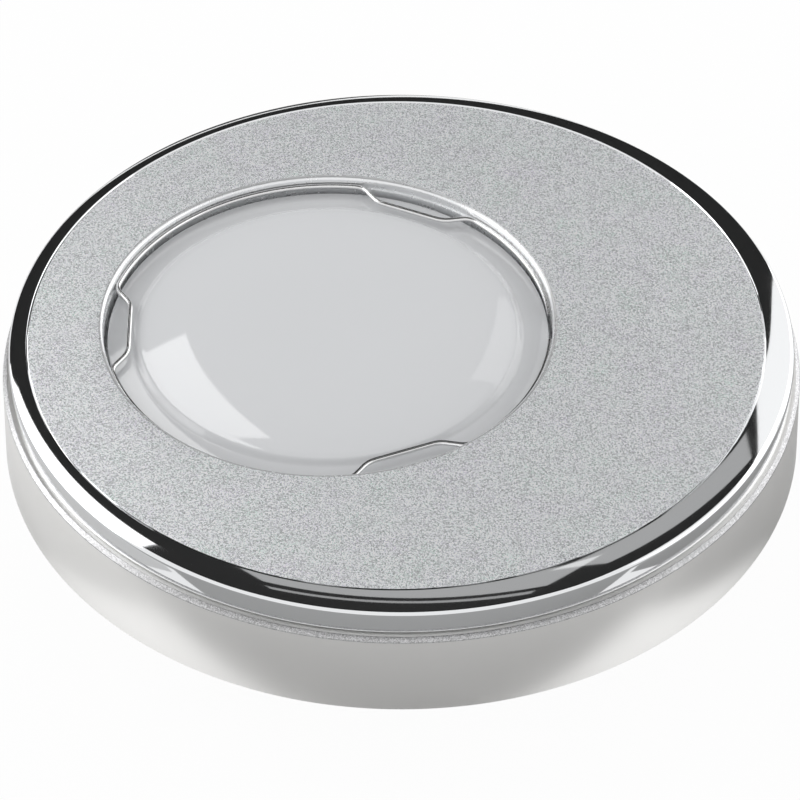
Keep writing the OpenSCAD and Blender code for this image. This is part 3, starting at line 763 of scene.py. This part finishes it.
def make_face_ring(t, o, finishes):
    """The upper ring: chrome side and shoulder, groove, satin face, stepped opening, collar."""
    land_axis = (TRIM_X + t.land_x, t.land_y)
    land = t.ring_radius - t.shoulder_width
    split = t.face_height - t.ring_height
    top = t.face_height
    e = t.edge_round
    stations = on(TRIM_AXIS, [(t.spigot_radius + 0.2 * MM, split), (t.ring_radius - e, split)])
    stations += on(TRIM_AXIS, corner(e, t.ring_radius - e, split + e, -90, 0, 4)[1:])
    for out, drop in reversed(shoulder(t)):
        share = 1 - out / t.shoulder_width
        stations.append(((TRIM_X + t.land_x * share, t.land_y * share), land + out, top - drop))
    inner_land = land - t.land_groove
    stations += on(land_axis, [
        (land - t.land_groove_depth, top - t.land_groove_depth),
        (inner_land + 0.04 * MM, top - t.land_groove_depth),
        (inner_land, top - 0.03 * MM),
        (inner_land - 0.04 * MM, top),
    ])
    mouth = o.radius + o.round
    for share in (0.25, 0.5, 0.75):
        axis = (land_axis[0] * (1 - share), land_axis[1] * (1 - share))
        stations.append((axis, inner_land + (mouth - inner_land) * share, top))
    groove = o.wire_path + o.wire_radius + 0.1 * MM
    groove_half = o.wire_radius + 0.05 * MM
    wire_z = top - o.wire_depth
    stations += on(LAMP_AXIS, corner(o.round, mouth, top - o.round, 90, 180, 8))
    stations += on(LAMP_AXIS, [
        (o.radius, wire_z + groove_half),
        (groove, wire_z + groove_half),
        (groove, wire_z - groove_half),
        (o.radius, wire_z - groove_half),
        (o.radius, o.seat_height),
        (o.ledge_radius, o.seat_height),
        (o.ledge_radius, FACE_LOW.z),
        (o.collar_radius, FACE_LOW.z),
        (o.collar_radius, top - t.face_plate),
    ])
    stations += on(TRIM_AXIS, [(t.spigot_radius + 0.2 * MM, top - t.face_plate)])
    ring = turned("face_ring_visual", stations)
    boss_low = split - t.reveal_height
    for angle in SCREW_ANGLES:
        place = polar(t.screw_place, angle)
        combine(ring, post(t.boss_radius, place, boss_low, top - t.face_plate / 2), "UNION")
        hole = post(t.screw_radius, place, boss_low - MM, boss_low + t.screw_grip)
        combine(ring, hole, "DIFFERENCE")
    settle(ring, 28)
    lay_finish(ring, finishes["chrome"], finishes["pearl"], finishes["opening"])

    def satin(centre):
        reach = math.hypot(centre.x - land_axis[0], centre.y - land_axis[1])
        return centre.z > top - 0.02 * MM and reach < inner_land

    def opening(centre):
        depth = math.hypot(centre.x, centre.y)
        return o.ledge_radius - MM < depth < mouth and centre.z > o.seat_height - 0.1 * MM

    finish_faces(ring, 1, satin)
    finish_faces(ring, 2, opening)
    attach(ring, BODY, "face_chrome", "face_ring")


def make_base_ring(t, h, finishes):
    """The lower ring: tapered side, glitter bevel, web, sleeve round the housing and ribs."""
    split = t.face_height - t.ring_height
    web_top = split - t.reveal_height
    web = web_top - t.web
    top_r = t.base_radius - t.draft
    reveal_r = t.ring_radius - t.reveal_depth
    e = 0.08 * MM
    body = turned("base_ring_visual", on(TRIM_AXIS, [
        (20 * MM, web), (20 * MM, web_top),
        (t.spigot_radius - t.spigot_width, web_top),
        (t.spigot_radius - t.spigot_width, split + t.spigot_height),
        (t.spigot_radius, split + t.spigot_height),
        (t.spigot_radius, split), (reveal_r, split), (reveal_r, web_top),
        (top_r - t.bevel - e, web_top), (top_r - t.bevel, web_top - e / 2),
        (top_r - e / 2, web_top - t.bevel + e / 2), (top_r, web_top - t.bevel - e),
        (t.base_radius - 0.01 * MM, e * 2), (t.base_radius - e, 0.0),
        (t.base_radius - t.side_wall, 0.0), (top_r - t.side_wall, web),
    ]))
    flange = CAN_HIGH.z - h.sheet
    sleeve = turned("sleeve", on(LAMP_AXIS, [
        (20 * MM, flange - h.sleeve_height), (h.sleeve_radius, flange - h.sleeve_height),
        (h.sleeve_radius, web_top), (20 * MM, web_top),
    ]))
    combine(body, sleeve, "UNION")
    for angle in RIB_ANGLES:
        a = math.radians(angle)
        reach_in = h.sleeve_radius - h.rib
        reach_out = outer_reach(a, top_r - t.side_wall / 2)
        middle = (reach_in + reach_out) / 2
        low = flange - h.sleeve_height
        high = web_top - t.web / 2
        centre = (*polar(middle, angle), (low + high) / 2)
        combine(body, block((reach_out - reach_in, h.rib, high - low), centre, a), "UNION")
    over = t.face_height + MM
    for radius, low in ((h.rebate_radius, flange), (h.radius + 0.3 * MM, -MM)):
        combine(body, post(radius, LAMP_AXIS, low, over, TURN_STEPS), "DIFFERENCE")
    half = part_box("cable_grommet")[1].y + MM
    low = flange - h.sleeve_height - MM
    notch = block((6 * MM, 2 * half, flange - low), (h.sleeve_radius - MM, 0, (low + flange) / 2))
    combine(body, notch, "DIFFERENCE")
    screw_low, screw_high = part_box("block_screw")
    holes = [(polar(t.screw_place, angle), t.screw_radius) for angle in SCREW_ANGLES]
    holes.append((((screw_low.x + screw_high.x) / 2, 0.0), BLOCK_SCREW))
    for place, radius in holes:
        combine(body, post(radius, place, web - MM, web_top + MM), "DIFFERENCE")
    round_edges(body, 0.06 * MM, 1, 40)
    settle(body, 28)
    lay_finish(body, finishes["lacquer"], finishes["glitter"])

    def glitter(centre):
        reach = math.hypot(centre.x - TRIM_X, centre.y)
        return reach > top_r - t.bevel - 2 * e and centre.z > web_top - t.bevel - e

    finish_faces(body, 1, glitter)
    attach(body, BODY, "satin_lacquer", "base_ring")


def outer_reach(angle, radius):
    """Distance from the lamp axis to a circle of that radius round the trim's axis."""
    along = TRIM_X * math.cos(angle)
    return along + math.sqrt(radius ** 2 - (TRIM_X * math.sin(angle)) ** 2)


def make_lens(o, finishes):
    """The milk glass with its lower rim, rounded step and crowned middle."""
    rim_top = LENS_HIGH.z - o.lens_crown - o.lens_rise
    bottom = LENS_LOW.z
    outer = (LENS_HIGH.x - LENS_LOW.x) / 2
    edge = outer - o.lens_rim
    under = edge - o.lens_thickness / 2

    def crown(r):
        return o.lens_crown * (1 - (r / edge) ** CROWN_POWER)

    e = 0.15 * MM
    stations = [(outer, bottom), (outer, rim_top - e)]
    stations += corner(e, outer - e, rim_top - e, 0, 90, 4)[1:]
    stations += [
        (edge + o.lens_step * share, rim_top + o.lens_rise * (1 + math.cos(math.pi * share)) / 2)
        for share in (1 - i / 14 for i in range(15))
    ]
    stations += [(edge * i / 40, rim_top + o.lens_rise + crown(edge * i / 40))
                 for i in range(39, -1, -1)]
    top = turned("lens_visual", on(LAMP_AXIS, stations), closed=False)
    lower = [(outer, bottom), (edge, bottom)]
    lower += [(under * i / 16, bottom + o.lens_rise + crown(under * i / 16))
              for i in range(16, -1, -1)]
    bottom_skin = turned("lens_under", on(LAMP_AXIS, lower), closed=False)
    deselect()
    top.select_set(True)
    bottom_skin.select_set(True)
    bpy.context.view_layer.objects.active = top
    bpy.ops.object.join()
    bpy.ops.object.mode_set(mode="EDIT")
    bpy.ops.mesh.select_all(action="SELECT")
    bpy.ops.mesh.remove_doubles(threshold=0.001 * MM)
    bpy.ops.mesh.normals_make_consistent(inside=False)
    bpy.ops.object.mode_set(mode="OBJECT")
    settle(top, 40)
    lay_finish(top, finishes["glass"])
    attach(top, BODY, "milk_glass", "lens_glass")


def make_wire_ring(t, o, finishes):
    """The snap ring in its groove."""
    ring = wire_piece("snap_ring_visual", wire_ring_path(t, o), o.wire_radius)
    lay_finish(ring, finishes["wire"])
    attach(ring, BODY, "wire_steel", "snap_ring")


def make_housing(h, finishes):
    """The pressed housing with its flange, rounded floor corner and vent slots."""
    inner = h.radius - h.sheet
    low, high = CAN_LOW.z, CAN_HIGH.z
    flange_r = (CAN_HIGH.x - CAN_LOW.x) / 2
    small = h.corner - h.sheet
    outer = corner(h.corner, h.radius - h.corner, low + h.corner, -90, 0, 8)
    inside = corner(small, inner - small, low + h.sheet + small, 0, -90, 8)
    shell = turned("housing_visual", on(LAMP_AXIS, outer + [
        (h.radius, high - h.sheet), (flange_r, high - h.sheet), (flange_r, high), (inner, high),
    ] + inside + [(6 * MM, low + h.sheet), (6 * MM, low)]))
    combine(shell, post(6.5 * MM, LAMP_AXIS, low, low + h.sheet, TURN_STEPS), "UNION")
    for angle in VENT_ANGLES:
        middle = (h.vent_start + h.vent_end) / 2
        span = (h.vent_end - h.vent_start, h.vent_width, 3 * MM)
        slot = block(span, (*polar(middle, angle), low), math.radians(angle))
        for r in (h.vent_start, h.vent_end):
            end = post(h.vent_width / 2, polar(r, angle), low - 1.5 * MM, low + 1.5 * MM, 32)
            combine(slot, end, "UNION")
        combine(shell, slot, "DIFFERENCE")
    for side in (-1, 1):
        place = (h.holder_screw_x, side * h.holder_screw_y)
        combine(shell, post(h.holder_screw, place, low - MM, low + 2 * MM), "DIFFERENCE")
        for drop in (-h.rivet_spread, h.rivet_spread):
            hole = post(h.rivet, LAMP_AXIS, -3 * MM, 3 * MM)
            hole.rotation_euler.x = math.pi / 2
            hole.location = (0, side * h.radius, h.rivet_height + drop)
            combine(shell, hole, "DIFFERENCE")
    grommet_low, grommet_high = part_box("cable_grommet")
    neck = (grommet_high.y - grommet_low.y) / 2 - 0.6 * MM
    deselect()
    bpy.ops.mesh.primitive_cylinder_add(
        vertices=48, radius=neck, depth=6 * MM, rotation=(0, math.pi / 2, 0),
        location=(h.radius, 0, (grommet_low.z + grommet_high.z) / 2),
    )
    combine(shell, bpy.context.object, "DIFFERENCE")
    settle(shell, 28)
    lay_finish(shell, finishes["zinc"])
    attach(shell, BODY, "zinc_sheet", "housing_can")


def spring_path(c, side):
    """Centre line of a torsion spring, from its leg on the bracket to its leg under the arm."""
    steps = 28
    sweep = math.radians(360 * c.turns + 90) + c.rise
    count = math.ceil(math.degrees(sweep) / 360 * steps)
    coil = []
    for i in range(count + 1):
        share = i / count
        a = math.pi + sweep * share
        coil.append(Vector((
            c.half_length * (1 - 2 * share),
            c.coil_radius * math.cos(a),
            c.coil_radius * math.sin(a),
        )))
    last = math.pi + sweep
    out = Vector((0, -math.sin(last), math.cos(last)))
    leg_steps = 8
    start = [coil[0] + Vector((0, 0, c.leg * (1 - i / leg_steps))) for i in range(leg_steps)]
    end = [coil[-1] + out * (c.leg * i / leg_steps) for i in range(1, leg_steps + 1)]
    points = start + coil + end
    mirror = -1 if side == "front" else 1
    return [Vector((p.x, mirror * (p.y + c.pivot_y), p.z + c.pivot_z)) for p in points]


def make_clips(c, finishes):
    """Springs wound for the resting arms, and the clips' sheet pieces with rounded edges."""
    for side in SIDES:
        arm_body = f"clip_{side}"
        spring = wire_piece(f"spring_{side}_visual", spring_path(c, side), c.wire_radius)
        lay_finish(spring, finishes["wire"])
        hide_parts(f"clip_spring_{side}")
        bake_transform(spring)
        for piece, body, slot, look, width in (
            ("clip_bracket", BODY, "clip_steel", "clip", 0.06),
            ("clip_pin", BODY, "clip_steel", "clip", 0.08),
            ("clip_arm", arm_body, "clip_steel", "clip", 0.06),
            ("clip_sleeve", arm_body, "clip_sleeve", "sleeve", 0.18),
        ):
            node = f"{piece}_{side}"
            obj = softened(node, f"{node}_visual", width * MM)
            lay_finish(obj, finishes[look])
            attach(obj, body, slot, node)


def make_fittings(finishes):
    """Softened copies of the small parts behind, and finishes on the nodes that stay."""
    for node, slot, look, width in (
        ("terminal_block", "ceramic_white", "ceramic", 0.15),
        ("lamp_holder", "ceramic_white", "ceramic", 0.15),
        ("cable_grommet", "grommet_rubber", "grommet", 0.12),
        ("face_screws", "screw_steel", "screw", 0.08),
        ("block_screw", "screw_steel", "screw", 0.06),
        ("terminal_screws", "screw_steel", "screw", 0.05),
        ("clip_rivets", "screw_steel", "screw", 0.10),
    ):
        obj = softened(node, f"{node}_visual", width * MM)
        lay_finish(obj, finishes[look])
        attach(obj, BODY, slot, node)
    for node, look in (
        ("lens_gasket", "silicone"), ("reflector", "reflector"), ("holder_contacts", "brass"),
        ("holder_screws", "screw"), ("bulb_capsule", "quartz"), ("bulb_pins", "wire"),
        ("lead_front", "lead_black"), ("lead_rear", "lead_brown"), ("terminal_cages", "brass"),
    ):
        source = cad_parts[node]
        source.data.materials.clear()
        source.data.materials.append(finishes[look])


# Stage


def seen_from_camera(azimuth, elevation, heading):
    """Direction at degrees to the right of straight back and up, as the camera looks."""
    side = math.radians(azimuth) - heading
    up = math.radians(elevation)
    return Vector((math.sin(side) * math.cos(up), math.cos(side) * math.cos(up), math.sin(up)))


def add_panel(name, heading, azimuth, elevation, distance, width, height, level, lean=0):
    """A soft rectangular lamp, facing the object, whose surface shows at the given level."""
    toward = seen_from_camera(azimuth, elevation, heading)
    turn = toward.to_track_quat("Z", "Y") @ Quaternion((0, 0, 1), -math.radians(lean))
    deselect()
    bpy.ops.object.light_add(
        type="AREA", location=toward * distance + Vector((TRIM_X, 0, 0)),
        rotation=turn.to_euler(),
    )
    lamp = bpy.context.object
    lamp.name = name
    lamp.data.shape = "RECTANGLE"
    lamp.data.size = width
    lamp.data.size_y = height
    lamp.data.energy = math.pi * width * height * level
    lamp.visible_camera = False


def make_camera(stage):
    """The camera at the photograph's viewpoint."""
    deselect()
    bpy.ops.object.camera_add(
        location=stage.camera_place,
        rotation=(math.pi / 2 - stage.tilt, 0, stage.heading),
    )
    camera = bpy.context.object
    camera.data.lens = stage.lens
    camera.data.sensor_width = 36
    camera.data.clip_start = 0.01
    bpy.context.scene.camera = camera


def shows_background(f):
    """1 for the rays that show the white background: from the camera, metal or glass."""
    outputs = f.node("ShaderNodeLightPath").socket.node.outputs
    seen = Value(f, outputs["Is Camera Ray"]) + Value(f, outputs["Is Glossy Ray"])
    return (seen + Value(f, outputs["Is Transmission Ray"])).clamped_to(0.0, 1.0)


def make_floor(stage, colours):
    """A pale floor: white to the camera, in metal and through glass, but for a faint shadow."""
    deselect()
    bpy.ops.mesh.primitive_circle_add(
        vertices=64, radius=3.0, fill_type="NGON", location=(TRIM_X, 0, CAD_LOW.z)
    )
    floor = bpy.context.object
    floor.name = "studio_floor"
    f = Finish("floor")
    white = f.node("ShaderNodeEmission", inputs=[(1, 1, 1, 1), 1.0])
    matt = f.node("ShaderNodeBsdfDiffuse", inputs=[shade(colours.floor)])
    blend = f.node("ShaderNodeMixShader", inputs=[shows_background(f) * BACKGROUND_SHARE, matt, white])
    f.node("ShaderNodeOutputMaterial", inputs=[blend])
    lay_finish(floor, f.material)


def add_card(name, place, turn, width, height, colour):
    """A matt card that only reflections show."""
    deselect()
    bpy.ops.mesh.primitive_plane_add(
        size=1, location=place + Vector((TRIM_X, 0, 0)), rotation=turn
    )
    card = bpy.context.object
    card.name = name
    card.scale = (width, height, 1)
    f = Finish(name)
    matt = f.node("ShaderNodeBsdfDiffuse", inputs=[(colour, colour, colour, 1)])
    f.node("ShaderNodeOutputMaterial", inputs=[matt])
    lay_finish(card, f.material)
    card.visible_camera = False
    card.visible_diffuse = False
    card.visible_shadow = False
    card.visible_transmission = False


def add_cards(heading):
    """The dark cards behind and above, and the boards on the floor, whose grey front and side boards
    are painted shade of the floor beside the object in reflections.
    """
    for name, azimuth, elevation, distance, width, height, colour in CARDS:
        toward = seen_from_camera(azimuth, elevation, heading)
        turn = toward.to_track_quat("Z", "Y").to_euler()
        add_card(name, toward * distance, turn, width, height, colour)
    # Boards on the floor; the grey ones at the front and sides are painted shade
    for i, (name, azimuth, near, length, width, colour) in enumerate(BOARDS):
        place = seen_from_camera(azimuth, 0, heading) * (near + length / 2)
        place.z = CAD_LOW.z + (i + 1) * MM / 4
        add_card(name, place, (0, 0, heading - math.radians(azimuth)), width, length, colour)


def make_world(stage):
    """White to the camera, in metal and through glass, and an even light for the rest."""
    world = bpy.context.scene.world or bpy.data.worlds.new("studio")
    bpy.context.scene.world = world
    world.use_nodes = True
    f = Finish("studio", world.node_tree)
    white = f.node("ShaderNodeBackground", inputs=[(1, 1, 1, 1), 1.0])
    even = f.node("ShaderNodeBackground", inputs=[(1, 1, 1, 1), stage.sky])
    blend = f.node("ShaderNodeMixShader", inputs=[shows_background(f), even, white])
    f.node("ShaderNodeOutputWorld", inputs=[blend])


def make_stage(stage, colours):
    make_camera(stage)
    make_floor(stage, colours)
    make_world(stage)
    for panel in PANELS:
        add_panel(panel[0], stage.heading, *panel[1:])
    add_cards(stage.heading)
    bpy.context.scene.view_settings.view_transform = "Standard"


# Operators and panel


def make_finishes(c):
    return {
        "chrome": chrome_finish(c),
        "pearl": pearl_finish(c),
        "glitter": glitter_finish(c),
        "lacquer": lacquer_finish(c),
        "glass": glass_finish(c),
        "opening": metal_finish("opening_metal", (0.96, 0.97, 0.98), 0.16, 900.0, 0.0, 0.65),
        "wire": metal_finish("spring_wire", (0.80, 0.80, 0.80), 0.08),
        "zinc": metal_finish("zinc_sheet", c.zinc, 0.22, 1500.0),
        "reflector": metal_finish("reflector_sheet", (0.88, 0.88, 0.89), 0.10),
        "clip": metal_finish("clip_steel", (0.62, 0.62, 0.63), 0.20, 2600.0, 0.8),
        "screw": metal_finish("screw_steel", (0.52, 0.52, 0.54), 0.22),
        "brass": metal_finish("brass", c.brass, 0.18),
        "ceramic": soft_finish("ceramic", c.ceramic, 0.45),
        "silicone": soft_finish("silicone", (0.82, 0.82, 0.81), 0.5),
        "sleeve": soft_finish("clip_sleeve", (0.80, 0.80, 0.78), 0.38),
        "grommet": soft_finish("grommet_rubber", (0.035, 0.035, 0.036), 0.5),
        "lead_black": soft_finish("lead_black", (0.02, 0.02, 0.02), 0.42),
        "lead_brown": soft_finish("lead_brown", (0.17, 0.075, 0.035), 0.42),
        "quartz": clear_finish("quartz", (0.96, 0.98, 1.0)),
    }


FINISHES = {}


class LightOperator:
    """What the operators share: the scene's sizes and the finishes."""

    def settings(self, context):
        if not FINISHES:
            FINISHES.update(make_finishes(context.scene.light_colours))
        return context.scene


class LIGHT_OT_face_ring(LightOperator, bpy.types.Operator):
    """Models the upper ring with its satin face"""
    bl_idname = "light.face_ring"
    bl_label = "Face Ring"

    def execute(self, context):
        scene = self.settings(context)
        make_face_ring(scene.light_trim, scene.light_opening, FINISHES)
        return {"FINISHED"}


class LIGHT_OT_base_ring(LightOperator, bpy.types.Operator):
    """Models the tapered lower ring"""
    bl_idname = "light.base_ring"
    bl_label = "Base Ring"

    def execute(self, context):
        scene = self.settings(context)
        make_base_ring(scene.light_trim, scene.light_housing, FINISHES)
        return {"FINISHED"}


class LIGHT_OT_lens(LightOperator, bpy.types.Operator):
    """Models the milk glass"""
    bl_idname = "light.lens"
    bl_label = "Lens"

    def execute(self, context):
        scene = self.settings(context)
        make_lens(scene.light_opening, FINISHES)
        return {"FINISHED"}


class LIGHT_OT_wire_ring(LightOperator, bpy.types.Operator):
    """Models the wire ring that holds the lens"""
    bl_idname = "light.wire_ring"
    bl_label = "Wire Ring"

    def execute(self, context):
        scene = self.settings(context)
        make_wire_ring(scene.light_trim, scene.light_opening, FINISHES)
        return {"FINISHED"}


class LIGHT_OT_housing(LightOperator, bpy.types.Operator):
    """Models the pressed housing"""
    bl_idname = "light.housing"
    bl_label = "Housing"

    def execute(self, context):
        scene = self.settings(context)
        make_housing(scene.light_housing, FINISHES)
        return {"FINISHED"}


class LIGHT_OT_clips(LightOperator, bpy.types.Operator):
    """Models the two sprung fixing clips"""
    bl_idname = "light.clips"
    bl_label = "Clips"

    def execute(self, context):
        scene = self.settings(context)
        make_clips(scene.light_clips, FINISHES)
        return {"FINISHED"}


class LIGHT_OT_fittings(LightOperator, bpy.types.Operator):
    """Finishes the lamp, the holder, the terminals and the screws"""
    bl_idname = "light.fittings"
    bl_label = "Fittings"

    def execute(self, context):
        self.settings(context)
        make_fittings(FINISHES)
        return {"FINISHED"}


class LIGHT_OT_stage(LightOperator, bpy.types.Operator):
    """Sets the camera, the lamps, the floor and the world"""
    bl_idname = "light.stage"
    bl_label = "Stage"

    def execute(self, context):
        scene = self.settings(context)
        make_stage(scene.light_stage, scene.light_colours)
        return {"FINISHED"}


OPERATORS = (
    LIGHT_OT_stage, LIGHT_OT_face_ring, LIGHT_OT_base_ring, LIGHT_OT_lens, LIGHT_OT_wire_ring,
    LIGHT_OT_housing, LIGHT_OT_clips, LIGHT_OT_fittings,
)
GROUPS = {
    "light_trim": TrimSizes, "light_opening": OpeningSizes, "light_housing": HousingSizes,
    "light_clips": ClipSizes, "light_colours": FinishColours, "light_stage": StageSettings,
}


class LIGHT_PT_panel(bpy.types.Panel):
    """The light's pieces in the sidebar"""
    bl_idname = "LIGHT_PT_panel"
    bl_label = "Recessed Light"
    bl_space_type = "VIEW_3D"
    bl_region_type = "UI"
    bl_category = "Light"

    def draw(self, context):
        for operator in OPERATORS:
            self.layout.operator(operator.bl_idname)


def register():
    for group in GROUPS.values():
        bpy.utils.register_class(group)
    for name, group in GROUPS.items():
        setattr(bpy.types.Scene, name, bpy.props.PointerProperty(type=group))
    for operator in OPERATORS:
        bpy.utils.register_class(operator)
    bpy.utils.register_class(LIGHT_PT_panel)


def unregister():
    bpy.utils.unregister_class(LIGHT_PT_panel)
    for operator in reversed(OPERATORS):
        bpy.utils.unregister_class(operator)
    for name in GROUPS:
        delattr(bpy.types.Scene, name)
    for group in reversed(list(GROUPS.values())):
        bpy.utils.unregister_class(group)


def main():
    register()
    bpy.ops.light.stage()
    bpy.ops.light.face_ring()
    bpy.ops.light.base_ring()
    bpy.ops.light.lens()
    bpy.ops.light.wire_ring()
    bpy.ops.light.housing()
    bpy.ops.light.clips()
    bpy.ops.light.fittings()


if __name__ == "__main__":
    main()
